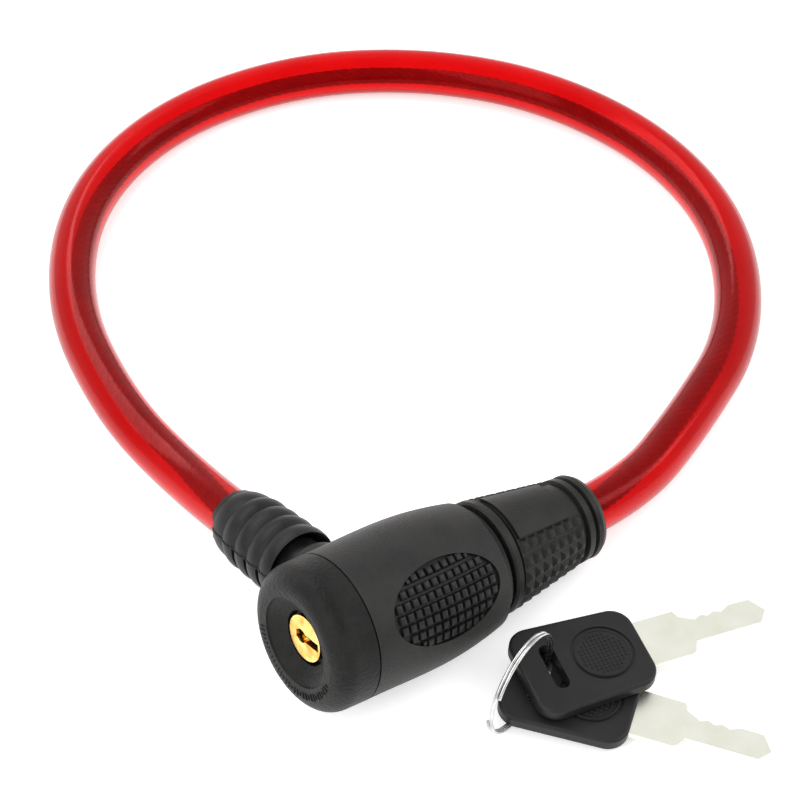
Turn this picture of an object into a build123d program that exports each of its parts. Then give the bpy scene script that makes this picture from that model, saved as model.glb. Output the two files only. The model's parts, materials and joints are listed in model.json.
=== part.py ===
from build123d import *
import math
import os

# Cable lock for luggage and bicycles, in millimetres, +Z up, lying on a table at z = 0.
# The origin is on the table at the middle of the cable's loop, and +X runs along the lock
# from its key face towards the cable plug.
# Each lock piece is drawn in the lock's own frame: x from the key face along the barrel, and
# +y out through the cable boot. place_lock then tips the barrel onto the rim of its plug.

# Cable
cable_d = 12.0
rope_d = 4.0
rope_clearance = 0.05

# Barrel, along the lock's axis. Its shell hangs a little below the core's axis.
cap_front = -2.0
cap_length = 8.5
cover_end = 48.5
cap_radius = 17.3
barrel_radius = 17.5
shell_drop = 0.5
seam_depth = 0.4
mouth_radius = 14.6
core_radius = 12.3
neck_radius = core_radius - 1.9
core_clearance = 0.15
core_start = 3.2
core_split = 28.6
neck_start = cover_end - 10.5
rear_core_end = cover_end - 3.5
key_hole_radius = 6.5

# Oval finger pads
pad_length = 30.0
pad_width = 18.4
pad_depth = 0.9
pad_x = 28.5
pad_angles = (156.0, -24.0)
pad_lift = 8.0

# Key plug and wafers
plug_radius = 5.5
plug_front = 0.8
plug_end = 22.0
plug_rest_turn = -90.0
turn_clearance = 0.06
keyway_width = 2.0
keyway_bottom = -4.8
keyway_top = 3.1
keyway_round_radius = 1.7
keyway_round_z = 1.3
keyway_end = 20.8
wafer_count = 5
wafer_pitch = 2.9
wafer_first_x = 6.6
wafer_thickness = 0.8
wafer_width = 3.0
wafer_height = 9.4
wafer_window_bottom = -3.6
wafer_window_top = 2.9
wafer_gap = 0.1
wafer_lug = 1.0
spring_pocket_radius = 0.55
wafer_spring_y = 2.2

# Cam and latch
tail_side = 4.2
tail_end = 26.8
tail_hole_radius = 3.2
core_wall = 2.0
cam_start = 24.1
cam_length = 2.6
cam_low_radius = 4.7
cam_chamber_radius = 9.0
latch_travel = 1.7
latch_x = 32.5
latch_thickness = 3.0
latch_half_width = 6.0
latch_bottom = -8.0
latch_top = 8.9
latch_slide_gap = 0.1
latch_hole_gap = 0.3
finger_bottom = 6.6
finger_height = 1.8
finger_width = 1.6
finger_gap = 0.2
latch_spring_radius = 1.0
latch_spring_wire = 0.3
latch_pocket_depth = 2.0

# Locking pin and its grip
pin_radius = 4.5
pin_tip_x = 29.0
pin_bore_gap = 0.1
groove_radius = 2.9
groove_margin = 0.4
pin_shoulder_x = cover_end + 2.1
pin_shoulder_radius = 7.0
pin_shoulder_length = 2.4
ferrule_radius = 6.6
ferrule_end = cover_end + 27.5
grip_start = cover_end + 1.1
grip_end = cover_end + 32.1
grip_front_radius = 13.8
grip_back_radius = 10.3
pyramid_height = 0.6
panel_rise = 0.75
cable_mouth_gap = 0.35
face_gap = 0.3

# Cable boot and the cable's fixed end
boot_x = 16.0
stem_radius = cable_d / 2 + 0.8
boot_base = 21.9
boot_end = 46.5
boot_radius = cable_d / 2 + 3.4
boot_tip_radius = cable_d / 2 + 2.0
rib_count = 4
rib_pitch = 4.85
rib_valley = 0.7
slot_width = 1.2
slot_depth = 2.2
socket_radius = 6.2
socket_floor = 7.3
fixed_ferrule_radius = 5.4
fixed_ferrule_end = 17.0
cross_pin_radius = 1.25
cross_pin_length = 11.5
cross_pin_y = 9.6

# Resting place of the lock
lock_tilt = 10.3
boot_roll = 13.0
axis_y = -87.4
plug_rest_x = -15.4
rest_ring = grip_end - 2.2

# Keys and ring
bow_length = 29.5
bow_ring_width = 24.4
bow_blade_width = 21.2
bow_thickness = 3.4
bow_corner = 5.0
bow_edge = 0.8
key_slot_length = 12.2
key_slot_width = 3.4
key_slot_from_edge = 7.5
medallion_radius = 7.3
medallion_from_edge = 19.4
medallion_groove = 0.7
medallion_groove_depth = 0.35
blade_thickness = 1.4
blade_half_width = 6.2
blade_length = 31.0
tang_length = 11.0
ring_radius = 12.0
ring_wire = 0.8
ring_plane_angle = 19.0
ring_x = -56.1
ring_y = -118.3
key_tilt = 4.3
key_tilt_heading = -34.0
key_lift = 2.75
key_stack_gap = 0.25
lower_key_heading = -53.9
upper_key_heading = -14.9
lower_key_offset = 2.4
upper_key_offset = 3.0
lower_ring_crossing = 9.0
upper_ring_crossing = 11.2

# The cable's route over the table, from the boot's mouth round to the grip. The first two
# and last two points are worked out from the lock, and these lie between them.
route_points = [
    (-80.3, 9.0, 6.0),
    (-71.3, 46.4, 6.0),
    (-47.6, 76.2, 6.0),
    (-13.5, 89.4, 6.0),
    (24.0, 84.5, 6.0),
    (54.8, 65.5, 6.0),
    (77.1, 37.3, 6.0),
    (87.0, 1.0, 6.0),
    (81.0, -34.2, 6.0),
    (58.3, -64.0, 6.0),
    (27.4, -78.4, 6.2),
]
route_first_run = 21.0
route_last_run = 20.0


# Frames

def lock_frame():
    """The lock's own frame, tipped so that the grip's rim touches the table."""
    tilt = math.radians(lock_tilt)
    rim_height = rim_radius() * math.cos(tilt)
    face_x = plug_rest_x - rest_ring * math.cos(tilt)
    face_z = rim_height + rest_ring * math.sin(tilt)
    return Pos(face_x, axis_y, face_z) * Rot(0, lock_tilt, 0) * Rot(-boot_roll, 0, 0)


def in_table_frame(x, y, z):
    """A point of the lock's own frame, as a point over the table."""
    return (lock_frame() * Pos(x, y, z)).position


def rim_radius():
    """The radius of the grip's end rim, which is what touches the table."""
    return grip_back_radius


def turned(outline):
    """A closed outline of (x, radius) points, turned round the lock's axis."""
    face = make_face(Polyline(*outline, close=True))
    return revolve(face, Axis.X, 360)


def disc(x_start, x_end, radius, inner=0.0):
    """A plain ring or disc round the lock's axis."""
    profile = Circle(radius)
    if inner:
        profile -= Circle(inner)
    return extrude(Plane.YZ.offset(x_start) * profile, amount=x_end - x_start)


def side_cylinder(y_start, y_end, radius):
    """A cylinder along the boot's axis."""
    where = Plane(origin=(boot_x, y_start, 0), x_dir=(1, 0, 0), z_dir=(0, 1, 0))
    return extrude(where * Circle(radius), amount=y_end - y_start)


def block(x0, x1, y0, y1, z0, z1):
    """A box between two corners."""
    return Pos((x0 + x1) / 2, (y0 + y1) / 2, (z0 + z1) / 2) * Box(x1 - x0, y1 - y0, z1 - z0)


def coil(radius, wire, length, turns):
    """A coil spring standing on z = 0, its ends inside the length."""
    helix = Helix(pitch=(length - wire) / turns, height=length - wire, radius=radius)
    start = Plane(origin=helix @ 0, z_dir=helix % 0)
    return Pos(0, 0, wire / 2) * sweep(start * Circle(wire / 2), path=helix, is_frenet=True)


# Barrel

def barrel_outline(inset):
    """The barrel's bulging outer line, moved in by inset, as one edge."""
    return Spline(
        (cap_length, cap_radius - inset),
        (20.5, barrel_radius - inset),
        (31.5, barrel_radius - 0.1 - inset),
        (40.5, barrel_radius - 1.1 - inset),
        (cover_end - 2.2, mouth_radius + 0.7 - inset),
    )


def barrel(inset):
    """The barrel's solid inside its outer line, dropped below the core's axis."""
    top = barrel_outline(inset)
    lip = RadiusArc(top @ 1, (cover_end, mouth_radius - 1.2 - inset), -3.2)
    rear = Line(lip @ 1, (cover_end, 0))
    bottom = Line((cover_end, 0), (cap_length, 0))
    front = Line((cap_length, 0), top @ 0)
    solid = revolve(make_face([top, lip, rear, bottom, front]), Axis.X, 360)
    return Pos(0, 0, -shell_drop) * solid


def pad_tool(angle):
    """The oval prism that marks one finger pad, reaching out from the axis."""
    oval = Plane(origin=(pad_x, 0, 0), x_dir=(1, 0, 0), z_dir=(0, 0, 1)) * Ellipse(pad_length / 2, pad_width / 2)
    prism = extrude(oval, amount=barrel_radius + pad_lift)
    return Rot(angle - 90, 0, 0) * prism


def make_cover():
    cover = barrel(0.0)
    under_pads = barrel(pad_depth)
    for angle in pad_angles:
        cover -= pad_tool(angle) - under_pads
    cover -= disc(cap_length - 1, neck_start, core_radius + core_clearance)
    cover -= disc(cap_length, cover_end + 1, neck_radius + core_clearance)
    boss = side_cylinder(core_radius + 0.6, barrel_radius + 0.5, stem_radius + 1.7)
    boss -= disc(0, cover_end, core_radius + core_clearance)
    cover += boss & disc(cap_length, cover_end, barrel_radius + 5)
    cover -= side_cylinder(0, barrel_radius + 5, stem_radius)
    return cover


def make_end_cap():
    """The rubber cap: a full round rim, a dished face and the hole for the key plug."""
    face_edge = cap_radius - 4.6
    rim = RadiusArc((cap_front, face_edge), (cap_front + 5.0, cap_radius - 0.1), 5.0)
    outline = [
        rim,
        Line(rim @ 1, (cap_length - seam_depth, cap_radius)),
        Line((cap_length - seam_depth, cap_radius), (cap_length, cap_radius - seam_depth)),
        Line((cap_length, cap_radius - seam_depth), (cap_length, 0)),
        Line((cap_length, 0), (cap_front, 0)),
        Line((cap_front, 0), (cap_front, face_edge)),
    ]
    cap = Pos(0, 0, -shell_drop) * revolve(make_face(outline), Axis.X, 360)
    dish = [
        (cap_front - 1, face_edge - 1.6),
        (cap_front + 0.5, face_edge - 2.4),
        (0.2, key_hole_radius + 1.4),
        (1.0, key_hole_radius),
        (core_start, key_hole_radius),
        (core_start, core_radius),
        (cap_length + 1, core_radius),
        (cap_length + 1, 0),
        (cap_front - 1, 0),
    ]
    cap -= turned(dish)
    return cap - side_cylinder(0, barrel_radius + 5, stem_radius)


# Core

def cross_pin():
    where = Pos(boot_x, cross_pin_y, 0)
    return where * Cylinder(cross_pin_radius, cross_pin_length)


def make_front_core():
    core = disc(core_start, core_split, core_radius)
    core -= disc(core_start, plug_end, plug_radius + turn_clearance)
    core -= disc(plug_end, plug_end + core_wall, tail_hole_radius)
    core -= disc(plug_end + core_wall, core_split, cam_chamber_radius)
    core -= side_cylinder(socket_floor, core_radius + 5, socket_radius)
    return core - cross_pin()


def make_rear_core():
    core = disc(core_split, neck_start, core_radius)
    core += disc(neck_start, rear_core_end, neck_radius)
    core -= disc(core_split, rear_core_end, pin_radius + pin_bore_gap)
    low = latch_bottom - latch_travel - latch_hole_gap
    side = latch_half_width + latch_slide_gap
    back = latch_x + latch_thickness + latch_slide_gap
    core -= block(latch_x - latch_slide_gap, back, -side, side, low, core_radius + 1)
    reach = finger_width / 2 + latch_slide_gap
    core -= block(core_split - 1, latch_x, -reach, reach, 0, finger_bottom + finger_height + latch_slide_gap)
    return core


def make_mouth_bushing():
    front = grip_start - face_gap
    bushing = disc(rear_core_end, front, neck_radius - 0.1)
    bushing -= disc(rear_core_end, front, pin_radius + pin_bore_gap)
    return bushing - disc(seal_x(), seal_x() + seal_length(), seal_radius())


def seal_x():
    return rear_core_end + 1.0


def seal_length():
    return 1.6


def seal_radius():
    return pin_radius + 1.9


def make_dust_seal():
    return disc(seal_x(), seal_x() + seal_length(), seal_radius(), pin_radius + turn_clearance)


# Key plug

def wafer_x(index):
    return wafer_first_x + index * wafer_pitch


def wafer_pocket(index):
    """The slot in the plug that holds one wafer, with the side pocket for its spring."""
    x = wafer_x(index)
    half = wafer_thickness / 2 + wafer_gap / 2
    side = wafer_width / 2 + wafer_gap
    tall = wafer_height / 2 + wafer_gap
    slot = block(x - half, x + half, -side, side, -tall, tall)
    slot += block(x - half, x + half, 0, wafer_spring_y + spring_pocket_radius, 1.2, 2.6)
    return slot + Pos(x, wafer_spring_y, -0.2) * Cylinder(spring_pocket_radius, 2.8)


def make_key_plug():
    plug = disc(plug_front, plug_end - 0.05, plug_radius)
    plug += block(plug_end - 0.1, tail_end, -tail_side / 2, tail_side / 2, -tail_side / 2, tail_side / 2)
    half = keyway_width / 2
    plug -= block(0, keyway_end, -half, half, keyway_bottom, keyway_top)
    plug -= Plane.YZ * Pos(0, keyway_round_z, 0) * Cylinder(keyway_round_radius, 2 * (plug_front + 1.4))
    for index in range(wafer_count):
        plug -= wafer_pocket(index)
    plug -= disc(tail_end - 3.5, tail_end, 0.8)
    return Rot(plug_rest_turn, 0, 0) * plug


def make_wafers():
    wafers = []
    for index in range(wafer_count):
        x = wafer_x(index)
        half = wafer_thickness / 2
        side = wafer_width / 2
        plate = block(x - half, x + half, -side, side, -wafer_height / 2, wafer_height / 2)
        plate += block(x - half, x + half, 0, side + wafer_lug, 1.3, 2.4)
        window = keyway_width / 2
        plate -= block(x - 1, x + 1, -window, window, wafer_window_bottom, wafer_window_top)
        wafers.append(Rot(plug_rest_turn, 0, 0) * plate)
    return Compound(children=wafers)


def make_wafer_springs():
    springs = []
    wire = 0.16
    for index in range(wafer_count):
        spring = coil(spring_pocket_radius - wire, wire, 2.5, 5)
        springs.append(Rot(plug_rest_turn, 0, 0) * Pos(wafer_x(index), wafer_spring_y, -1.4) * spring)
    return Compound(children=springs)


def make_cam():
    """The spiral cam: its radius falls evenly over a quarter turn, and so does the latch."""
    high = finger_bottom - finger_gap
    fall = latch_travel
    steps = 12
    spiral = []
    for step in range(steps + 1):
        angle = math.radians(90 + 90 * step / steps)
        radius = high - fall * step / steps
        spiral.append((radius * math.cos(angle), radius * math.sin(angle)))
    lead = math.radians(74)
    shoulder = (high * math.cos(lead), high * math.sin(lead))
    curve = Spline(*spiral)
    top = CenterArc((0, 0), high, 74, 16)
    lobe = make_face([top, curve, Line(spiral[-1], (0, 0)), Line((0, 0), shoulder)])
    profile = lobe + Circle(cam_low_radius)
    profile -= Rectangle(tail_side + 0.06, tail_side + 0.06)
    return Plane.YZ.offset(cam_start) * extrude(profile, amount=cam_length)


def make_cam_screw():
    screw = disc(tail_end, tail_end + 1.3, 2.9)
    screw += disc(tail_end - 3.4, tail_end, 0.8)
    return screw - block(tail_end + 0.7, tail_end + 2, -0.3, 0.3, -3, 3)


# Latch

def make_latch():
    side = latch_half_width
    plate = block(latch_x, latch_x + latch_thickness, -side, side, latch_bottom, latch_top)
    plate &= disc(latch_x, latch_x + latch_thickness, core_radius - 0.2)
    plate -= disc(latch_x, latch_x + latch_thickness, pin_radius + latch_hole_gap)
    finger = finger_width / 2
    plate += block(cam_start + 0.2, latch_x, -finger, finger, finger_bottom, finger_bottom + finger_height)
    pocket = Cylinder(latch_spring_radius + latch_spring_wire, 2 * latch_pocket_depth)
    return plate - Pos(latch_x + latch_thickness / 2, 0, latch_top) * pocket


def make_latch_spring():
    floor = latch_top - latch_pocket_depth
    length = core_radius + core_clearance - 0.1 - floor
    spring = coil(latch_spring_radius, latch_spring_wire, length, 5)
    return Pos(latch_x + latch_thickness / 2, 0, floor) * spring


# Cable plug

def make_locking_pin():
    groove_start = latch_x - groove_margin
    groove_stop = latch_x + latch_thickness + groove_margin
    shoulder_stop = pin_shoulder_x + pin_shoulder_length
    outline = [
        (pin_tip_x, 0),
        (pin_tip_x, pin_radius - 1.3),
        (pin_tip_x + 1.3, pin_radius),
        (groove_start, pin_radius),
        (groove_start, groove_radius),
        (groove_stop, groove_radius),
        (groove_stop, pin_radius),
        (pin_shoulder_x, pin_radius),
        (pin_shoulder_x, pin_shoulder_radius),
        (shoulder_stop, pin_shoulder_radius),
        (shoulder_stop, 0),
    ]
    return turned(outline)


def make_plug_ferrule():
    return disc(pin_shoulder_x + pin_shoulder_length, ferrule_end, ferrule_radius)


def make_grip():
    """The tapered grip: a collar ring, the long taper, two end rings and a raised top panel."""
    taper_start = grip_start + 3.0
    taper_stop = grip_end - 7.6
    bore = cable_d / 2 + cable_mouth_gap
    shoulder_stop = pin_shoulder_x + pin_shoulder_length
    outline = [
        (grip_start, pin_radius + 0.3),
        (grip_start, grip_front_radius - 0.5),
        (grip_start + 0.5, grip_front_radius),
        (grip_start + 1.9, grip_front_radius),
        (grip_start + 2.3, grip_front_radius - 1.3),
        (grip_start + 2.8, grip_front_radius - 1.3),
        (taper_start, grip_front_radius - 0.2 - pyramid_height),
        (taper_stop, grip_back_radius + 0.2 - pyramid_height),
        (taper_stop + 0.3, grip_back_radius - 1.0),
        (taper_stop + 1.0, grip_back_radius - 1.0),
        (taper_stop + 1.3, grip_back_radius + 0.1),
        (taper_stop + 2.9, grip_back_radius),
        (taper_stop + 3.2, grip_back_radius - 1.0),
        (taper_stop + 3.9, grip_back_radius - 1.0),
        (taper_stop + 4.2, grip_back_radius - 0.1),
        (rest_ring, grip_back_radius),
        (grip_end - 0.9, grip_back_radius - 0.7),
        (grip_end, grip_back_radius - 2.0),
        (grip_end, bore),
        (ferrule_end, bore),
        (ferrule_end, ferrule_radius),
        (shoulder_stop, ferrule_radius),
        (shoulder_stop, pin_shoulder_radius),
        (pin_shoulder_x, pin_shoulder_radius),
        (pin_shoulder_x, pin_radius + 0.3),
    ]
    grip = turned(outline)
    return grip + grip_panel(taper_start, taper_stop)


def grip_panel(taper_start, taper_stop):
    """The smooth raised panel along the top of the grip."""
    rise = panel_rise
    front = grip_front_radius - 0.2 - pyramid_height
    slope = (grip_front_radius - grip_back_radius - 0.4) / (taper_stop - taper_start)
    start = taper_start + 0.6
    stop = taper_stop - 3.5
    outline = [
        (start, front - 1.5),
        (start, front - 0.6 * slope + rise),
        (stop, front - (stop - taper_start) * slope + rise),
        (stop, front - (stop - taper_start) * slope - 1.0),
    ]
    face = make_face(Polyline(*outline, close=True))
    return Rot(90 - 32 + boot_roll, 0, 0) * revolve(face, Axis.X, 64)


# Boot and the cable's fixed end

def make_boot():
    """The ribbed boot: a stem into the lock, a cupped base, rounded ribs and three half slots."""
    base = boot_base
    profile = [
        Line((cable_d / 2, core_radius + 0.4), (stem_radius, core_radius + 0.4)),
        Line((stem_radius, core_radius + 0.4), (stem_radius, base + 3.2)),
        Line((stem_radius, base + 3.2), (boot_radius - 0.8, base + 0.4)),
        Line((boot_radius - 0.8, base + 0.4), (boot_radius - 0.3, base)),
    ]
    here = (boot_radius - 0.3, base)
    for rib in range(rib_count):
        shrink = 0.12 * rib
        crest = (boot_radius - shrink, base + rib_pitch * (rib + 0.45))
        valley = (boot_radius - rib_valley - shrink, base + rib_pitch * (rib + 1))
        profile.append(ThreePointArc(here, crest, valley))
        here = valley
    tip = (boot_tip_radius - 0.6, boot_end)
    profile.append(ThreePointArc(here, (boot_tip_radius + 0.35, boot_end - 3.0), tip))
    profile.append(Line(tip, (cable_d / 2, boot_end)))
    profile.append(Line((cable_d / 2, boot_end), (cable_d / 2, core_radius + 0.4)))
    boot = revolve(make_face(profile), Axis.Y, 360)
    for rib in range(1, rib_count):
        y = base + rib_pitch * rib
        ring = Pos(0, y, 0) * Rot(90, 0, 0) * Cylinder(boot_radius + 2, slot_width)
        ring -= Pos(0, y, 0) * Rot(90, 0, 0) * Cylinder(boot_radius - slot_depth, slot_width + 1)
        ring -= block(-20, 20, y - 5, y + 5, 0.6, 20)
        boot -= ring
    return Pos(boot_x, 0, 0) * boot


def make_fixed_ferrule():
    ferrule = side_cylinder(socket_floor + 0.1, fixed_ferrule_end, fixed_ferrule_radius)
    return ferrule - side_cylinder(cross_pin_y + 2.4, fixed_ferrule_end, rope_d / 2) - cross_pin()


def make_cross_pin():
    return cross_pin()


# Cable, over the table

def route():
    """The cable's line: straight runs joined by arcs as large as the runs allow."""
    start = in_table_frame(boot_x, boot_end, 0)
    after_start = in_table_frame(boot_x, boot_end + route_first_run, 0)
    before_end = in_table_frame(ferrule_end + route_last_run, 0, 0)
    end = in_table_frame(ferrule_end, 0, 0)
    points = [start, after_start] + [Vector(*p) for p in route_points] + [before_end, end]
    runs = [points[i + 1] - points[i] for i in range(len(points) - 1)]
    radii = []
    for first, second in zip(runs, runs[1:]):
        turn = math.radians(first.get_angle(second))
        radii.append(0.45 * min(first.length, second.length) / math.tan(turn / 2))
    print("cable runs", [round(run.length, 1) for run in runs])
    print("cable radii", [round(radius, 1) for radius in radii])
    print("cable points", [tuple(round(c, 1) for c in point) for point in points])
    return FilletPolyline(*points, radius=radii)


def swept(path, radius):
    start = Plane(origin=path @ 0, z_dir=path % 0)
    return sweep(start * Circle(radius), path=path)


def make_sheath(path):
    outer = swept(path, cable_d / 2)
    expected = math.pi * (cable_d / 2) ** 2 * path.length
    print("cable length %.1f, tube volume ratio %.4f" % (path.length, outer.volume / expected))
    stub = lock_frame() * side_cylinder(fixed_ferrule_end, boot_end, cable_d / 2)
    bore = swept(path, rope_d / 2 + rope_clearance)
    stub_bore = lock_frame() * side_cylinder(fixed_ferrule_end, boot_end, rope_d / 2 + rope_clearance)
    return (outer - bore) + (stub - stub_bore)


def make_rope(path):
    inside = lock_frame() * side_cylinder(cross_pin_y + 2.5, boot_end, rope_d / 2)
    return swept(path, rope_d / 2) + inside


# Keys

def ring_frame():
    """The split ring's own frame: z across the ring's plane, x along its level diameter."""
    return Plane(
        origin=(ring_x, ring_y, ring_radius + ring_wire / 2),
        x_dir=(math.cos(math.radians(ring_plane_angle)), math.sin(math.radians(ring_plane_angle)), 0),
        z_dir=(math.sin(math.radians(ring_plane_angle)), -math.cos(math.radians(ring_plane_angle)), 0),
    )


def make_split_ring():
    """Two turns of wire side by side, as one helix whose turns lie a wire apart."""
    turns = 1.9
    helix = Helix(pitch=ring_wire * 1.04, height=ring_wire * 1.04 * turns, radius=ring_radius)
    start = Plane(origin=helix @ 0, z_dir=helix % 0)
    wire = sweep(start * Circle(ring_wire / 2), path=helix, is_frenet=True)
    return ring_frame().location * Pos(0, 0, -ring_wire * 1.04 * turns / 2) * Rot(0, 0, 185) * wire


def key_location(heading, crossing, offset, height):
    """Where a key lies: its slot round the ring's wire, its plane tipped towards its tip."""
    along = math.radians(ring_plane_angle)
    x = ring_x + crossing * math.cos(along)
    y = ring_y + crossing * math.sin(along)
    tip = Rot(0, 0, key_tilt_heading) * Rot(0, key_tilt, 0) * Rot(0, 0, -key_tilt_heading)
    slot_centre = Pos(0, -offset, 0)
    return Pos(x, y, height) * tip * Rot(0, 0, heading) * slot_centre * Pos(-key_slot_from_edge, 0, 0)


def bow_outline():
    ring_side = bow_ring_width / 2
    blade_side = bow_blade_width / 2
    corners = [(0, -ring_side), (bow_length, -blade_side), (bow_length, blade_side), (0, ring_side)]
    return fillet(make_face(Polyline(*corners, close=True)).vertices(), bow_corner)


def make_bow():
    bow = extrude(bow_outline(), amount=bow_thickness)
    bow = fillet(bow.faces().filter_by(Axis.Z).edges(), bow_edge)
    slot = Pos(key_slot_from_edge, 0, 0) * SlotOverall(key_slot_length, key_slot_width, rotation=90)
    bow -= extrude(slot, amount=bow_thickness)
    ring = Circle(medallion_radius) - Circle(medallion_radius - medallion_groove)
    groove = extrude(ring, amount=medallion_groove_depth)
    bow -= Pos(medallion_from_edge, 0, bow_thickness - medallion_groove_depth) * groove
    return bow - make_blade()


def make_blade():
    """The flat blade, its root shoulders, five bit cuts and pointed tip."""
    edge = bow_length
    outline = [
        (edge - tang_length, -4.2),
        (edge - 1.5, -4.2),
        (edge - 1.5, -blade_half_width),
        (edge + 9.8, -blade_half_width),
        (edge + 10.8, -5.6),
        (edge + 12.0, -3.2),
        (edge + blade_length - 2.5, -3.1),
        (edge + blade_length, -0.2),
        (edge + blade_length - 2.5, 3.7),
        (edge + 23.3, 3.8),
        (edge + 21.0, 2.6),
        (edge + 19.3, 3.3),
        (edge + 17.6, 2.6),
        (edge + 16.0, 3.3),
        (edge + 14.3, 2.5),
        (edge + 11.0, 4.3),
        (edge + 10.3, blade_half_width),
        (edge - 1.5, blade_half_width),
        (edge - 1.5, 4.2),
        (edge - tang_length, 4.2),
    ]
    face = make_face(Polyline(*outline, close=True))
    blade = extrude(face, amount=blade_thickness)
    return Pos(0, 0, (bow_thickness - blade_thickness) / 2) * blade


def save(name, shape):
    export_step(shape, os.path.join("parts", name + ".step"))


def main():
    os.makedirs("parts", exist_ok=True)
    place = lock_frame()
    lock_pieces = {
        "end_cap": make_end_cap(),
        "cover": make_cover(),
        "front_core": make_front_core(),
        "rear_core": make_rear_core(),
        "mouth_bushing": make_mouth_bushing(),
        "dust_seal": make_dust_seal(),
        "cable_boot": make_boot(),
        "fixed_ferrule": make_fixed_ferrule(),
        "cross_pin": make_cross_pin(),
        "key_plug": make_key_plug(),
        "wafers": make_wafers(),
        "wafer_springs": make_wafer_springs(),
        "cam": make_cam(),
        "cam_screw": make_cam_screw(),
        "latch_plate": make_latch(),
        "latch_spring": make_latch_spring(),
        "locking_pin": make_locking_pin(),
        "plug_ferrule": make_plug_ferrule(),
        "grip_sleeve": make_grip(),
    }
    for name, shape in lock_pieces.items():
        save(name, place * shape)

    path = route()
    save("cable_sheath", make_sheath(path))
    save("cable_rope", make_rope(path))

    save("split_ring", make_split_ring())
    stack = bow_thickness + key_stack_gap
    lower = key_location(lower_key_heading, lower_ring_crossing, lower_key_offset, key_lift)
    upper = key_location(upper_key_heading, upper_ring_crossing, upper_key_offset, key_lift + stack)
    save("lower_key_bow", lower * make_bow())
    save("lower_key_blade", lower * make_blade())
    save("upper_key_bow", upper * make_bow())
    save("upper_key_blade", upper * make_blade())
    print("lock axis", in_table_frame(0, 0, 0), in_table_frame(grip_end, 0, 0))


main()
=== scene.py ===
# Sheathed steel cable lock with two keys on a split ring, lying on a pale table.
import json
import math

import bmesh
import bpy
from mathutils import Matrix, Vector
from mathutils.bvhtree import BVHTree


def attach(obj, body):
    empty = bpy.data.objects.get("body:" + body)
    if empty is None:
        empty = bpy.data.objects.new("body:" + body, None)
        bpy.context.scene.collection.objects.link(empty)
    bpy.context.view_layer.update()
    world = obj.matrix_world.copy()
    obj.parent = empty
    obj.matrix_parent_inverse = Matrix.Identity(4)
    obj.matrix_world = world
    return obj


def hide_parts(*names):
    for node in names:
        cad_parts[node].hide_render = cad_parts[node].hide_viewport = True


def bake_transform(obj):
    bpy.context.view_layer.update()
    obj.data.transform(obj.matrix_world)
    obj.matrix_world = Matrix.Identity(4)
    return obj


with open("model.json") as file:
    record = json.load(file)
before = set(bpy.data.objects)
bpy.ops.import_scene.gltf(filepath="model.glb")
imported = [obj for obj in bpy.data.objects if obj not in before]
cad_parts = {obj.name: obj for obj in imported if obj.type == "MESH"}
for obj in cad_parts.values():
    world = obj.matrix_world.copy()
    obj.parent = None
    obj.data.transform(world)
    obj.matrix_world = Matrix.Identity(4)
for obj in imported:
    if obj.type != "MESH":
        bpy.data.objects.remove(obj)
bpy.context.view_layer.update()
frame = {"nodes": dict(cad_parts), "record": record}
mm = 0.001

# The lock's own frame: x from the key face along the barrel, y out through the boot, z up.
jointNamed = {joint["name"]: joint for joint in frame["record"]["behaviour"]["joints"]}
alongLock = -Vector(jointNamed["key_turn"]["axis"])
upLock = Vector(jointNamed["latch_slide"]["axis"])
acrossLock = upLock.cross(alongLock)
lockPlace = Matrix.Translation(Vector(jointNamed["key_turn"]["pos_m"])) @ Matrix(
    (
        (alongLock.x, acrossLock.x, upLock.x, 0),
        (alongLock.y, acrossLock.y, upLock.y, 0),
        (alongLock.z, acrossLock.z, upLock.z, 0),
        (0, 0, 0, 1),
    )
)


def atLock(x, y, z):
    return lockPlace @ (Vector((x, y, z)) * mm)


def deselectAll():
    if bpy.context.mode != "OBJECT":
        bpy.ops.object.mode_set(mode="OBJECT")
    bpy.ops.object.select_all(action="DESELECT")


def pick(piece):
    deselectAll()
    piece.select_set(True)
    bpy.context.view_layer.objects.active = piece


def startPiece(name):  # the primitive just added becomes this piece
    piece = bpy.context.active_object
    piece.name = name
    piece.data.name = name
    return piece


def openMesh(piece):  # edit mode with nothing selected
    pick(piece)
    bpy.ops.object.mode_set(mode="EDIT")
    bpy.ops.mesh.select_all(action="DESELECT")
    return bmesh.from_edit_mesh(piece.data)


def selectFaces(mesh, wanted):
    bpy.ops.mesh.select_mode(type="FACE")
    for face in mesh.faces:
        face.select_set(wanted(face))


def closeMesh(piece):
    bmesh.update_edit_mesh(piece.data)
    bpy.ops.object.mode_set(mode="OBJECT")


def applyAll(piece):
    pick(piece)
    for modifier in list(piece.modifiers):
        bpy.ops.object.modifier_apply(modifier=modifier.name)


def settle(piece, place):  # moves the piece to its place and leaves that place in its mesh
    piece.matrix_world = place @ piece.matrix_world
    pick(piece)
    bpy.ops.object.transform_apply(location=True, rotation=True, scale=True)


def wear(piece, material, body=None, angle=30):
    piece.data.materials.clear()
    piece.data.materials.append(material)
    pick(piece)
    bpy.ops.object.shade_smooth_by_angle(angle=math.radians(angle))
    if body:
        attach(piece, body)


def joinCopies(name, model, places):  # copies of one model, each with its own mesh, joined
    copies = []
    for place in places:
        copy = model.copy()
        copy.data = model.data.copy()
        bpy.context.collection.objects.link(copy)
        copy.data.transform(place)
        copies.append(copy)
    deselectAll()
    for copy in copies:
        copy.select_set(True)
    bpy.context.view_layer.objects.active = copies[0]
    bpy.ops.object.join()
    joined = startPiece(name)
    bpy.data.objects.remove(model)
    return joined


def surfaceOf(node):  # the CAD piece's surface, to lay details on
    cad = frame["nodes"][node]
    return BVHTree.FromPolygons(
        [cad.matrix_world @ vertex.co for vertex in cad.data.vertices],
        [list(face.vertices) for face in cad.data.polygons],
    )


def lockWay(x, y, z):
    return lockPlace.to_3x3() @ Vector((x, y, z))


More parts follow.
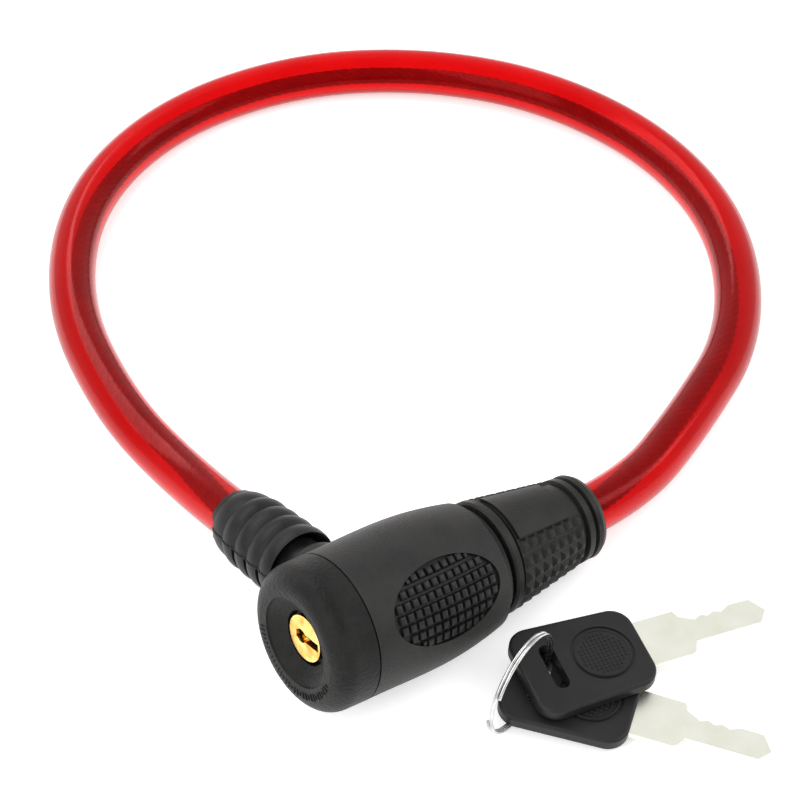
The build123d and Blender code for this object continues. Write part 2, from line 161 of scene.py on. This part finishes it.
def placeAt(spot, outward, ahead):  # z out of the surface and x towards ahead
    outward = outward.normalized()
    along = (ahead - outward * ahead.dot(outward)).normalized()
    turn = Matrix((along, outward.cross(along), outward)).transposed()
    return Matrix.Translation(spot) @ turn.to_4x4()


def layOn(surface, start, inward, ahead):
    spot, outward, face, distance = surface.ray_cast(start, inward.normalized())
    if outward.dot(inward) > 0:
        outward = -outward
    return placeAt(spot, outward, ahead)


def sized(x, y, z):
    return Matrix.Diagonal((x, y, z, 1))


def moved(x, y, z):
    return Matrix.Translation(Vector((x, y, z)) * mm)


def turned(degrees, axis):
    return Matrix.Rotation(math.radians(degrees), 4, axis)


def stud(name, size, top, foot=0.3):  # a block standing on z = 0, its top drawn in
    bpy.ops.mesh.primitive_cube_add(size=mm, scale=(size[0], size[1], size[2] + foot))
    piece = startPiece(name)
    piece.location.z = (size[2] - foot) / 2 * mm
    pick(piece)
    bpy.ops.object.transform_apply(location=True, rotation=True, scale=True)
    mesh = openMesh(piece)
    selectFaces(mesh, lambda face: face.normal.z > 0.9)
    bpy.ops.transform.resize(value=(top, top, 1))
    closeMesh(piece)
    return piece


def roundTop(piece, offset, segments=2):  # rounds the edges of the top face
    mesh = openMesh(piece)
    selectFaces(mesh, lambda face: face.normal.z > 0.9)
    bpy.ops.mesh.bevel(offset=offset * mm, segments=segments, affect="EDGES")
    closeMesh(piece)
    return piece


# Materials


def fromHex(code):
    channels = [int(code[i : i + 2], 16) / 255 for i in (0, 2, 4)]
    linear = [c / 12.92 if c <= 0.04045 else ((c + 0.055) / 1.055) ** 2.4 for c in channels]
    return linear + [1.0]


def addNode(tree, kind, settings, links=None):
    node = tree.nodes.new(kind)
    for name, value in settings.items():
        if isinstance(name, int) or name in node.inputs:
            node.inputs[name].default_value = value
        else:
            setattr(node, name, value)
    for name, source in (links or {}).items():
        tree.links.new(source, node.inputs[name])
    return node


def newTree(name):
    material = bpy.data.materials.new(name)
    material.use_nodes = True
    material.node_tree.nodes.clear()
    return material, material.node_tree


def ramp(tree, source, stops):
    node = addNode(tree, "ShaderNodeValToRGB", {}, {"Fac": source})
    elements = node.color_ramp.elements
    while len(elements) < len(stops):
        elements.new(0.5)
    for element, (place, colour) in zip(elements, stops):
        element.position = place
        element.color = colour
    return node.outputs["Color"]


def finishTree(tree, settings, links):
    shader = addNode(tree, "ShaderNodeBsdfPrincipled", settings, links)
    addNode(tree, "ShaderNodeOutputMaterial", {}, {"Surface": shader.outputs["BSDF"]})


def grey(value):
    return [value, value, value, 1.0]


def mouldedBlack(name, settings):
    # Black moulded plastic or rubber from a spark-eroded tool: fine pits, a soft broad sheen,
    # and paler dusty patches where it has been handled.
    material, tree = newTree(name)
    place = addNode(tree, "ShaderNodeTexCoord", {}).outputs["Object"]
    grain = addNode(
        tree,
        "ShaderNodeTexVoronoi",
        {"feature": "SMOOTH_F1", "Scale": 1 / (settings["grain"] * mm), "Smoothness": 0.4},
        {"Vector": place},
    ).outputs["Distance"]
    fine = addNode(
        tree,
        "ShaderNodeTexNoise",
        {"Scale": 1 / (settings["grain"] * 0.45 * mm), "Detail": 3.0, "Roughness": 0.65},
        {"Vector": place},
    ).outputs["Fac"]
    dust = addNode(
        tree,
        "ShaderNodeTexNoise",
        {"Scale": 1 / (settings["patch"] * mm), "Detail": 5.0, "Roughness": 0.6},
        {"Vector": place},
    ).outputs["Fac"]
    colour = ramp(
        tree,
        dust,
        [(0.32, fromHex(settings["dark"])), (0.75, fromHex(settings["pale"]))],
    )
    roughness = ramp(
        tree,
        dust,
        [(0.25, grey(settings["rough"] - 0.06)), (0.8, grey(settings["rough"] + 0.08))],
    )
    height = addNode(
        tree,
        "ShaderNodeMath",
        {"operation": "MULTIPLY_ADD", 1: settings["fine"]},
        {0: fine, 2: grain},
    ).outputs[0]
    bump = addNode(
        tree,
        "ShaderNodeBump",
        {"Strength": settings["bump"], "Distance": settings["depth"] * mm},
        {"Height": height},
    ).outputs["Normal"]
    finishTree(
        tree,
        {"IOR": 1.5, "Specular IOR Level": settings["gloss"]},
        {"Base Color": colour, "Roughness": roughness, "Normal": bump},
    )
    return material


# Barrel shell: glass-filled nylon with a fine leather grain, satin.
coverNylon = mouldedBlack(
    "CoverNylonLeatherGrain",
    {"grain": 0.34, "patch": 14, "dark": "181818", "pale": "2A2A28", "rough": 0.5,
     "fine": 0.7, "bump": 0.8, "depth": 0.09, "gloss": 0.2},
)
# End cap: injection-moulded rubber, a little rougher, with a coarse pitted skin.
capRubber = mouldedBlack(
    "CapMouldedRubber",
    {"grain": 0.8, "patch": 7, "dark": "050505", "pale": "1C1C1A", "rough": 0.48,
     "fine": 0.9, "bump": 0.8, "depth": 0.12, "gloss": 0.16},
)
# Boot: soft PVC, smooth with a waxy sheen.
bootVinyl = mouldedBlack(
    "BootSoftVinyl",
    {"grain": 0.5, "patch": 5, "dark": "0E0E0F", "pale": "202020", "rough": 0.44,
     "fine": 0.6, "bump": 0.35, "depth": 0.06, "gloss": 0.18},
)
# Grip: thermoplastic rubber, matt between its moulded pyramids.
gripRubber = mouldedBlack(
    "GripThermoplasticRubber",
    {"grain": 0.45, "patch": 8, "dark": "121312", "pale": "222320", "rough": 0.46,
     "fine": 0.6, "bump": 0.45, "depth": 0.07, "gloss": 0.2},
)
# Finger pads: the same rubber, softer and blacker, polished by handling.
padRubber = mouldedBlack(
    "PadSoftRubber",
    {"grain": 0.4, "patch": 9, "dark": "0E0E0F", "pale": "1E1E1E", "rough": 0.4,
     "fine": 0.6, "bump": 0.25, "depth": 0.05, "gloss": 0.22},
)
# Key bows: polypropylene, nearly smooth.
bowPlastic = mouldedBlack(
    "BowPolypropylene",
    {"grain": 0.3, "patch": 9, "dark": "161617", "pale": "1D1D1E", "rough": 0.42,
     "fine": 0.5, "bump": 0.16, "depth": 0.03, "gloss": 0.22},
)
# Inner mouldings: plain acetal.
innerAcetal = mouldedBlack(
    "InnerAcetal",
    {"grain": 0.4, "patch": 10, "dark": "2C2C2E", "pale": "3A3A3C", "rough": 0.4,
     "fine": 0.5, "bump": 0.15, "depth": 0.03, "gloss": 0.5},
)


def workedMetal(name, settings):
    # Bare metal with fine marks from how it was made, faint stains, and a roughness that
    # wanders with the marks.
    material, tree = newTree(name)
    place = addNode(tree, "ShaderNodeTexCoord", {}).outputs["Object"]
    lines = addNode(
        tree,
        "ShaderNodeTexNoise",
        {"Scale": 1 / (settings["line"] * mm), "Detail": 2.0},
        {"Vector": place},
    ).outputs["Fac"]
    stain = addNode(
        tree,
        "ShaderNodeTexNoise",
        {"Scale": 1 / (settings["patch"] * mm), "Detail": 4.0},
        {"Vector": place},
    ).outputs["Fac"]
    colour = ramp(
        tree,
        stain,
        [(0.3, fromHex(settings["dark"])), (0.7, fromHex(settings["pale"]))],
    )
    roughness = ramp(
        tree,
        lines,
        [(0.3, grey(settings["rough"] - 0.05)), (0.7, grey(settings["rough"] + 0.06))],
    )
    bump = addNode(
        tree,
        "ShaderNodeBump",
        {"Strength": settings["bump"], "Distance": 0.02 * mm},
        {"Height": lines},
    ).outputs["Normal"]
    finishTree(
        tree,
        {"Metallic": 1.0},
        {"Base Color": colour, "Roughness": roughness, "Normal": bump},
    )
    return material


turnedBrass = workedMetal(  # free-cutting brass, turned and lightly polished
    "TurnedBrass",
    {"line": 0.3, "patch": 3, "dark": "C9922F", "pale": "FFDC86",
     "rough": 0.2, "bump": 0.2},
)
nickelBlade = workedMetal(  # nickel-plated steel, tumbled bright
    "NickelPlatedSteel",
    {"line": 0.25, "patch": 6, "dark": "D9D9CC", "pale": "E1E1D6",
     "rough": 0.34, "bump": 0.1},
)
ringWire = workedMetal(  # hard-drawn spring wire, nickel plated
    "DrawnSpringWire",
    {"line": 0.2, "patch": 4, "dark": "9A9A9A", "pale": "D8D8D6",
     "rough": 0.22, "bump": 0.2},
)
turnedSteel = workedMetal(  # zinc-plated turned steel
    "TurnedSteel",
    {"line": 0.3, "patch": 5, "dark": "A7A9AB", "pale": "CFD0D1",
     "rough": 0.28, "bump": 0.25},
)
# Painted shade: the rope's colour is made dark reddish brown for the dim red light inside its
# sheath.
ropeSteel = workedMetal(  # galvanised rope wire, dull, coloured with painted shade
    "GalvanisedRopeWire",
    {"line": 0.22, "patch": 3, "dark": "1A0F0D", "pale": "6A4E46",
     "rough": 0.42, "bump": 0.5},
)


def clearVinyl():
    # Extruded clear PVC dyed red: glassy skin, a painted shade that darkens the colour towards
    # the rim where the surface turns away from view, standing in for dark reflections there,
    # faint draw marks along the cable and a few specks.
    material, tree = newTree("SheathClearRedVinyl")
    place = addNode(tree, "ShaderNodeUVMap", {"uv_map": "along"}).outputs["UV"]
    drawn = addNode(
        tree, "ShaderNodeMapping", {"Scale": (40, 900, 1)}, {"Vector": place}
    ).outputs["Vector"]
    marks = addNode(
        tree, "ShaderNodeTexNoise", {"Scale": 1.0, "Detail": 3.0}, {"Vector": drawn}
    ).outputs["Fac"]
    cloud = addNode(
        tree, "ShaderNodeTexNoise", {"Scale": 60.0, "Detail": 3.0},
        {"Vector": addNode(tree, "ShaderNodeTexCoord", {}).outputs["Object"]},
    ).outputs["Fac"]
    colour = ramp(tree, cloud, [(0.3, fromHex("C00206")), (0.7, fromHex("CE080A"))])
    facing = addNode(tree, "ShaderNodeLayerWeight", {"Blend": 0.5}).outputs["Facing"]
    # Painted shade: the colour is multiplied towards 7A5050 at grazing angles, a dark rim
    # standing in for dark reflections at the tube's edges.
    paintedRimShade = ramp(tree, facing, [(0.7, grey(1.0)), (0.98, fromHex("7A5050"))])
    colour = addNode(
        tree,
        "ShaderNodeMix",
        {"data_type": "RGBA", "blend_type": "MULTIPLY", 0: 1.0},
        {6: colour, 7: paintedRimShade},
    ).outputs[2]
    roughness = ramp(tree, marks, [(0.3, grey(0.1)), (0.75, grey(0.18))])
    bump = addNode(
        tree, "ShaderNodeBump", {"Strength": 0.15, "Distance": 0.03 * mm}, {"Height": marks}
    ).outputs["Normal"]
    finishTree(
        tree,
        {
            "IOR": 1.46,
            "Specular IOR Level": 0.25,
            "Specular Tint": fromHex("E85050"),
            "Transmission Weight": 0.78,
        },
        {"Base Color": colour, "Roughness": roughness, "Normal": bump},
    )
    return material


sheathVinyl = clearVinyl()
print("materials made")

# Camera, above the key face and to its right

camera = {
    "place": (-0.2794, -0.3726, 0.4744),
    "looking": (0.4047, 0.5409, -0.7373),
    "lens": 117,
}
bpy.ops.object.camera_add(location=camera["place"])
viewer = bpy.context.active_object
viewer.rotation_euler = Vector(camera["looking"]).to_track_quat("-Z", "Y").to_euler()
viewer.data.lens = camera["lens"]
viewer.data.sensor_width = 36
viewer.data.clip_start = 0.01
viewer.data.clip_end = 20
bpy.context.scene.camera = viewer

# Cable: one smooth line through the route, a clear sheath round it and a laid rope inside

cable = {
    "diameter": 12,
    "bootEnd": (16.0, 46.5),  # where it leaves the boot, in the lock's frame
    "firstRun": 21.0,
    "ferruleEnd": 76.0,  # where it enters the plug's ferrule
    "lastRun": 20.0,
    "route": [
        (-80.3, 9.0, 6.0), (-71.3, 46.4, 6.0), (-47.6, 76.2, 6.0), (-13.5, 89.4, 6.0),
        (24.0, 84.5, 6.0), (54.8, 65.5, 6.0), (77.1, 37.3, 6.0), (87.0, 1.0, 6.0),
        (81.0, -34.2, 6.0), (58.3, -64.0, 6.0), (27.4, -78.4, 6.2),
    ],
    "length": 0.461,
    "step": 2.2,  # between points on the line
    "strands": 6,
    "strandRadius": 0.56,
    "strandRing": 1.14,
    "heartRadius": 0.7,
    "ropeOff": 1.45,  # towards the middle of the loop
    "ropeOffRun": 25,  # from each end until it is fully off
    "lay": 15.0,  # one turn of the strands
    "layPoints": 12,  # in one turn
}
cablePoints = [atLock(cable["bootEnd"][0], cable["bootEnd"][1], 0)]
cablePoints.append(atLock(cable["bootEnd"][0], cable["bootEnd"][1] + cable["firstRun"], 0))
cablePoints += [Vector(point) * mm for point in cable["route"]]
cablePoints.append(atLock(cable["ferruleEnd"] + cable["lastRun"], 0, 0))
cablePoints.append(atLock(cable["ferruleEnd"], 0, 0))

lineData = bpy.data.curves.new("cableLine", "CURVE")
lineData.dimensions = "3D"
lineData.resolution_u = 32
spline = lineData.splines.new("NURBS")
spline.points.add(len(cablePoints) - 1)
for point, place in zip(spline.points, cablePoints):
    point.co = (*place, 1.0)
spline.order_u = 3
spline.use_endpoint_u = True
cableLine = bpy.data.objects.new("cableLine", lineData)
bpy.context.collection.objects.link(cableLine)
linePoints = [vertex.co.copy() for vertex in bpy.data.meshes.new_from_object(cableLine).vertices]
bpy.data.objects.remove(cableLine)


def framesAlong(points):  # distance, place and two directions across the line at each point
    frames = []
    travelled = 0.0
    side = None
    for index, point in enumerate(points):
        before = points[max(index - 1, 0)]
        after = points[min(index + 1, len(points) - 1)]
        ahead = (after - before).normalized()
        if side is None:
            side = ahead.cross(Vector((0, 0, 1))).normalized()
        side = (side - ahead * side.dot(ahead)).normalized()
        if index:
            travelled += (point - points[index - 1]).length
        frames.append((travelled, point, side, ahead.cross(side)))
    return frames


def evenly(points, step):  # the same line with points a step apart
    frames = framesAlong(points)
    total = frames[-1][0]
    count = max(2, round(total / step))
    result = []
    index = 0
    for number in range(count + 1):
        wanted = total * number / count
        while index < len(frames) - 2 and frames[index + 1][0] < wanted:
            index += 1
        first, second = frames[index], frames[index + 1]
        share = (wanted - first[0]) / max(second[0] - first[0], 1e-9)
        result.append(first[1].lerp(second[1], share))
    return result


def tubeMesh(name, lines, radius, sides):  # a closed tube along each line, with a map along it
    mesh = bmesh.new()
    layer = mesh.loops.layers.uv.new("along")
    for line in lines:
        rings = []
        frames = framesAlong(line)
        for travelled, point, side, up in frames:
            ring = []
            for number in range(sides):
                angle = 2 * math.pi * number / sides
                offset = side * math.cos(angle) + up * math.sin(angle)
                ring.append(mesh.verts.new(point + offset * radius))
            rings.append(ring)
        for index in range(len(rings) - 1):
            for number in range(sides):
                other = (number + 1) % sides
                near, far = rings[index], rings[index + 1]
                face = mesh.faces.new((near[number], near[other], far[other], far[number]))
                corners = [(index, number), (index, number + 1)]
                corners += [(index + 1, number + 1), (index + 1, number)]
                for loop, (step, turn) in zip(face.loops, corners):
                    loop[layer].uv = (frames[step][0], turn / sides * 2 * math.pi * radius)
        mesh.faces.new(rings[0][::-1])
        mesh.faces.new(rings[-1])
    bmesh.ops.recalc_face_normals(mesh, faces=mesh.faces)
    data = bpy.data.meshes.new(name)
    mesh.to_mesh(data)
    mesh.free()
    piece = bpy.data.objects.new(name, data)
    bpy.context.collection.objects.link(piece)
    return piece


def drawnIn(points):  # the rope pulls to the inside of the loop, most at its middle
    frames = framesAlong(points)
    total = frames[-1][0]
    result = []
    for travelled, point, side, up in frames:
        ends = min(1.0, min(travelled, total - travelled) / (cable["ropeOffRun"] * mm))
        inward = Vector((-point.x, -point.y, 0))
        inward -= side.cross(up) * inward.dot(side.cross(up))
        result.append(point + inward.normalized() * cable["ropeOff"] * ends * mm)
    return result


def strandLines(points):
    frames = framesAlong(evenly(points, cable["lay"] * mm / cable["layPoints"]))
    lines = []
    for strand in range(cable["strands"]):
        line = []
        for travelled, point, side, up in frames:
            angle = 2 * math.pi * (travelled / (cable["lay"] * mm) + strand / cable["strands"])
            offset = side * math.cos(angle) + up * math.sin(angle)
            line.append(point + offset * cable["strandRing"] * mm)
        lines.append(line)
    return lines


centreLine = evenly(linePoints, cable["step"] * mm)
sheath = tubeMesh("sheathTube", [centreLine], cable["diameter"] / 2 * mm, 40)
ropeLine = drawnIn(centreLine)
rope = tubeMesh("ropeStrands", strandLines(ropeLine), cable["strandRadius"] * mm, 8)
ropeHeart = tubeMesh("ropeHeart", [ropeLine], cable["heartRadius"] * mm, 12)
for piece, material in ((sheath, sheathVinyl), (rope, ropeSteel), (ropeHeart, ropeSteel)):
    wear(piece, material, angle=60)
    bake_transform(piece)
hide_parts("cable_sheath")
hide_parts("cable_rope")
print("cable made", len(centreLine))

# CAD pieces keep their shapes and take their finishes

finishes = {
    "end_cap": capRubber, "cover": coverNylon, "cable_boot": bootVinyl,
    "front_core": innerAcetal, "rear_core": innerAcetal, "mouth_bushing": innerAcetal,
    "dust_seal": gripRubber, "key_plug": turnedBrass, "wafers": turnedBrass,
    "wafer_springs": ringWire, "cam": turnedSteel, "cam_screw": turnedSteel,
    "latch_plate": turnedSteel, "latch_spring": ringWire, "locking_pin": turnedSteel,
    "plug_ferrule": turnedSteel, "fixed_ferrule": turnedSteel, "cross_pin": turnedSteel,
    "grip_sleeve": gripRubber, "split_ring": ringWire, "lower_key_bow": bowPlastic,
    "upper_key_bow": bowPlastic, "lower_key_blade": nickelBlade,
    "upper_key_blade": nickelBlade,
}
for node, material in finishes.items():
    cad = frame["nodes"][node]
    if not cad.material_slots:
        cad.data.materials.append(material)
    for slot in cad.material_slots:
        slot.material = material

# Finger pads: rounded blocks in rows, cut off at the edge of each oval recess

pads = {
    "angles": (156, -24),
    "x": 28.5,
    "halfLength": 14.75,
    "halfWidth": 8.95,
    "pitch": (2.12, 2.42),
    "columns": 7,  # each side of the middle
    "rows": 4,
    "block": (1.7, 1.98, 0.98),
    "top": 0.92,
    "rounding": 0.34,
    "least": 0.6,  # narrower pieces of a block are left out
    "castFrom": 30,  # out from the lock's axis
}
coverSurface = surfaceOf("cover")
padPlaces = []
for padAngle in pads["angles"]:
    turn = math.radians(padAngle)
    outward = lockWay(0, math.cos(turn), math.sin(turn))
    halfX, halfV = pads["block"][0] / 2, pads["block"][1] / 2
    for column in range(-pads["columns"], pads["columns"] + 1):
        for row in range(-pads["rows"], pads["rows"] + 1):
            x = column * pads["pitch"][0]
            v = row * pads["pitch"][1]
            if abs(v) >= pads["halfWidth"] or abs(x) >= pads["halfLength"]:
                continue
            reachX = pads["halfLength"] * math.sqrt(1 - (v / pads["halfWidth"]) ** 2)
            reachV = pads["halfWidth"] * math.sqrt(1 - (x / pads["halfLength"]) ** 2)
            left, right = max(x - halfX, -reachX), min(x + halfX, reachX)
            low, high = max(v - halfV, -reachV), min(v + halfV, reachV)
            if right - left < pads["least"] or high - low < pads["least"]:
                continue
            x, v = (left + right) / 2, (low + high) / 2
            start = atLock(
                pads["x"] + x,
                pads["castFrom"] * math.cos(turn) + v * math.sin(turn),
                pads["castFrom"] * math.sin(turn) - v * math.cos(turn),
            )
            spot = layOn(coverSurface, start, -outward, alongLock)
            size = sized((right - left) / pads["block"][0], (high - low) / pads["block"][1], 1)
            padPlaces.append(spot @ size)
padBlock = roundTop(stud("padBlock", pads["block"], pads["top"]), pads["rounding"])
padBlocks = joinCopies("padBlocks", padBlock, padPlaces)
wear(padBlocks, padRubber, "lock_body")
print("pads made", len(padPlaces))

# Grip: rings of blunt pyramids round the taper, left off the smooth panel

knurl = {
    "front": (52.7, 13.0),
    "back": (73.0, 9.92),
    "columns": 7,
    "rows": 18,
    "panel": (71, 135),  # degrees from the boot's side
    "height": 0.74,
    "fill": 0.97,  # of the pitch, both ways
    "top": 0.3,
    "rounding": 0.06,
}
columnPitch = (knurl["back"][0] - knurl["front"][0]) / knurl["columns"]
rowPitch = (360 - knurl["panel"][1] + knurl["panel"][0]) / knurl["rows"]
slope = (knurl["back"][1] - knurl["front"][1]) / (knurl["back"][0] - knurl["front"][0])
knurlPlaces = []
for column in range(knurl["columns"]):
    x = knurl["front"][0] + columnPitch * (column + 0.5)
    radius = knurl["front"][1] + slope * (x - knurl["front"][0])
    for row in range(knurl["rows"]):
        turn = math.radians(knurl["panel"][1] + rowPitch * (row + 0.5))
        spot = atLock(x, radius * math.cos(turn), radius * math.sin(turn))
        outward = lockWay(-slope, math.cos(turn), math.sin(turn))
        width = 2 * radius * math.tan(math.radians(rowPitch) / 2)
        size = sized(columnPitch * knurl["fill"], width * knurl["fill"], 1)
        knurlPlaces.append(placeAt(spot, outward, alongLock) @ size)
knurlStud = stud("knurlStud", (1, 1, knurl["height"]), knurl["top"])
knurlStud = roundTop(knurlStud, knurl["rounding"], 1)
knurls = joinCopies("gripPyramids", knurlStud, knurlPlaces)
wear(knurls, gripRubber, "cable_plug", angle=20)
print("grip made", len(knurlPlaces))

# Cap: plain raised bars round the lower rim, every third one short

marks = {
    "radius": 12.2,
    "drop": 0.5,  # the shell hangs this far below the axis
    "angles": (-8, -160),
    "count": 31,
    "bar": (2.0, 0.36, 0.22),
    "top": 0.75,
    "rounding": 0.06,
    "short": 0.55,  # of the bar's length
    "castFrom": -12,  # ahead of the key face
}
firstMark, lastMark = marks["angles"]
capSurface = surfaceOf("end_cap")
markPlaces = []
for number in range(marks["count"]):
    turn = math.radians(firstMark + (lastMark - firstMark) * number / (marks["count"] - 1))
    outX, outZ = math.cos(turn), math.sin(turn)
    start = atLock(
        marks["castFrom"], marks["radius"] * outX, marks["radius"] * outZ - marks["drop"]
    )
    spot = layOn(capSurface, start, alongLock, lockWay(0, outX, outZ))
    markPlaces.append(spot @ sized(1.0 if number % 3 else marks["short"], 1, 1))
markBar = roundTop(stud("markBar", marks["bar"], marks["top"]), marks["rounding"], 1)
capBars = joinCopies("capBars", markBar, markPlaces)
wear(capBars, capRubber, "lock_body")

# Boot: the parting line down both sides, and a thin torn lip round the cable

boot = {
    "x": 16.0,
    "base": 22.6,
    "tip": 46.2,
    "partingZ": 1.0,
    "beads": 56,
    "bead": (0.62, 0.4, 0.2),
    "beadTop": 0.7,
    "beadRounding": 0.05,
    "wander": (0.12, 1.9),  # how far, and how fast from bead to bead
    "castFrom": 15,
}
lip = {
    "radius": 7.5,
    "span": (45.6, 48.6),
    "narrowed": 0.925,  # at its free edge
    "trimmed": 0.5,
    "tear": 2.0,  # how deep it is torn at each seam
    "tearWidth": 0.42,  # to each side, in radians
    "thickness": 0.5,
}
bootSurface = surfaceOf("cable_boot")
seamPlaces = []
for side in (-1, 1):
    for number in range(boot["beads"]):
        y = boot["base"] + (boot["tip"] - boot["base"]) * number / (boot["beads"] - 1)
        z = boot["partingZ"] + boot["wander"][0] * math.sin(number * boot["wander"][1])
        start = atLock(boot["x"] + side * boot["castFrom"], y, z)
        seamPlaces.append(layOn(bootSurface, start, lockWay(-side, 0, 0), lockWay(0, 1, 0)))
seamBead = stud("seamBead", boot["bead"], boot["beadTop"])
seamBead = roundTop(seamBead, boot["beadRounding"], 1)
bootSeams = joinCopies("bootPartingLine", seamBead, seamPlaces)
wear(bootSeams, bootVinyl, "lock_body")

bpy.ops.mesh.primitive_cylinder_add(
    vertices=60,
    radius=lip["radius"] * mm,
    depth=(lip["span"][1] - lip["span"][0]) * mm,
    end_fill_type="NOTHING",
)
bootLip = startPiece("bootTornLip")
mesh = openMesh(bootLip)
for vertex in mesh.verts:
    turn = math.atan2(vertex.co.y, vertex.co.x)
    if vertex.co.z > 0:
        fromSeam = min(abs(turn - side) for side in (-math.pi, 0, math.pi))
        notch = max(0.0, 1 - fromSeam / lip["tearWidth"])
        ragged = 0.16 * math.sin(13 * turn) + 0.12 * math.sin(29 * turn + 1)
        vertex.co.z -= (lip["tear"] * notch + lip["trimmed"] + ragged) * mm
        vertex.co.x *= lip["narrowed"]
        vertex.co.y *= lip["narrowed"]
bmesh.update_edit_mesh(bootLip.data)
bpy.ops.mesh.select_all(action="SELECT")
bpy.ops.mesh.normals_make_consistent(inside=False)
closeMesh(bootLip)
shell = bootLip.modifiers.new("thickness", "SOLIDIFY")
shell.thickness = lip["thickness"] * mm
shell.offset = -1
applyAll(bootLip)
lipMiddle = atLock(boot["x"], (lip["span"][0] + lip["span"][1]) / 2, 0)
settle(bootLip, placeAt(lipMiddle, lockWay(0, 1, 0), lockWay(1, 0, 0)))
wear(bootLip, bootVinyl, "lock_body")
print("cap and boot details made")

# Key bows: a medallion of tiny plain studs inside a raised ring

keys = {
    "upper_key": {"joint": "upper_key_swing", "heading": -14.9, "offset": 3.0},
    "lower_key": {"joint": "lower_key_swing", "heading": -53.9, "offset": 2.4},
}
bow = {
    "slotFromEdge": 7.5,
    "thickness": 3.4,
    "tilt": (-34, 4.3),  # both keys lean towards this heading, by this much
    "medallion": 19.4,
    "studs": 5.5,
    "stud": (0.7, 0.7, 0.22),
    "studTop": 0.35,
    "pitch": 0.98,
    "reach": 6,  # studs each way from the middle
    "ring": 6.2,
    "ringWire": 0.2,
}
leanHeading, lean = bow["tilt"]
keyTilt = turned(leanHeading, "Z") @ turned(lean, "Y") @ turned(-leanHeading, "Z")
for body, key in keys.items():
    pivot = Vector(jointNamed[key["joint"]]["pos_m"]) - Vector((0, 0, bow["thickness"] / 2 * mm))
    keyPlace = Matrix.Translation(pivot) @ keyTilt @ turned(key["heading"], "Z")
    ahead = bow["medallion"] - bow["slotFromEdge"]
    keyPlace = keyPlace @ moved(ahead, -key["offset"], bow["thickness"])
    places = []
    for column in range(-bow["reach"], bow["reach"] + 1):
        for row in range(-bow["reach"], bow["reach"] + 1):
            x, y = column * bow["pitch"], row * bow["pitch"]
            if math.hypot(x, y) <= bow["studs"]:
                places.append(keyPlace @ moved(x, y, 0))
    bowStud = stud("bowStud", bow["stud"], bow["studTop"], 0.1)
    studs = joinCopies(body + "_studs", bowStud, places)
    wear(studs, bowPlastic, body, angle=20)
    bpy.ops.mesh.primitive_torus_add(
        major_radius=bow["ring"] * mm,
        minor_radius=bow["ringWire"] * mm,
        major_segments=64,
        minor_segments=8,
    )
    ring = startPiece(body + "_medallionRing")
    settle(ring, keyPlace)
    wear(ring, bowPlastic, body, angle=60)
print("keys made")

# Stage: pale table and soft light from above and both sides

stage = {"size": 6.0, "drop": 0.2, "shade": 0.9, "glow": 0.4, "world": 1.0}
bpy.ops.mesh.primitive_plane_add(size=stage["size"], location=(0, 0, -stage["drop"] * mm))
table = startPiece("table")
tableLacquer, tableTree = newTree("TableWhiteLacquer")
finishTree(
    tableTree,
    {
        "Base Color": grey(stage["shade"]),
        "Roughness": 0.6,
        "Emission Color": grey(1.0),
        "Emission Strength": stage["glow"],
    },
    {},
)
table.data.materials.append(tableLacquer)
world = bpy.data.worlds.new("softRoom")
bpy.context.scene.world = world
world.use_nodes = True
world.node_tree.nodes["Background"].inputs["Color"].default_value = fromHex("FFFFFF")
world.node_tree.nodes["Background"].inputs["Strength"].default_value = stage["world"]
softboxes = [
    {"place": (-0.15, 0.55, 0.75), "size": (1.0, 0.35), "power": 5},
    {"place": (-0.75, -0.2, 0.6), "size": (0.5, 0.8), "power": 4},
    {"place": (0.6, -0.5, 0.7), "size": (0.6, 0.4), "power": 3},
]
for number, box in enumerate(softboxes):
    bpy.ops.object.light_add(type="AREA", location=box["place"])
    lamp = bpy.context.active_object
    lamp.name = "softbox" + str(number + 1)
    lamp.data.shape = "RECTANGLE"
    lamp.data.size, lamp.data.size_y = box["size"]
    lamp.data.energy = box["power"]
    lamp.rotation_euler = (-Vector(box["place"])).to_track_quat("-Z", "Y").to_euler()
bpy.context.scene.view_settings.view_transform = "Standard"
print("stage made")
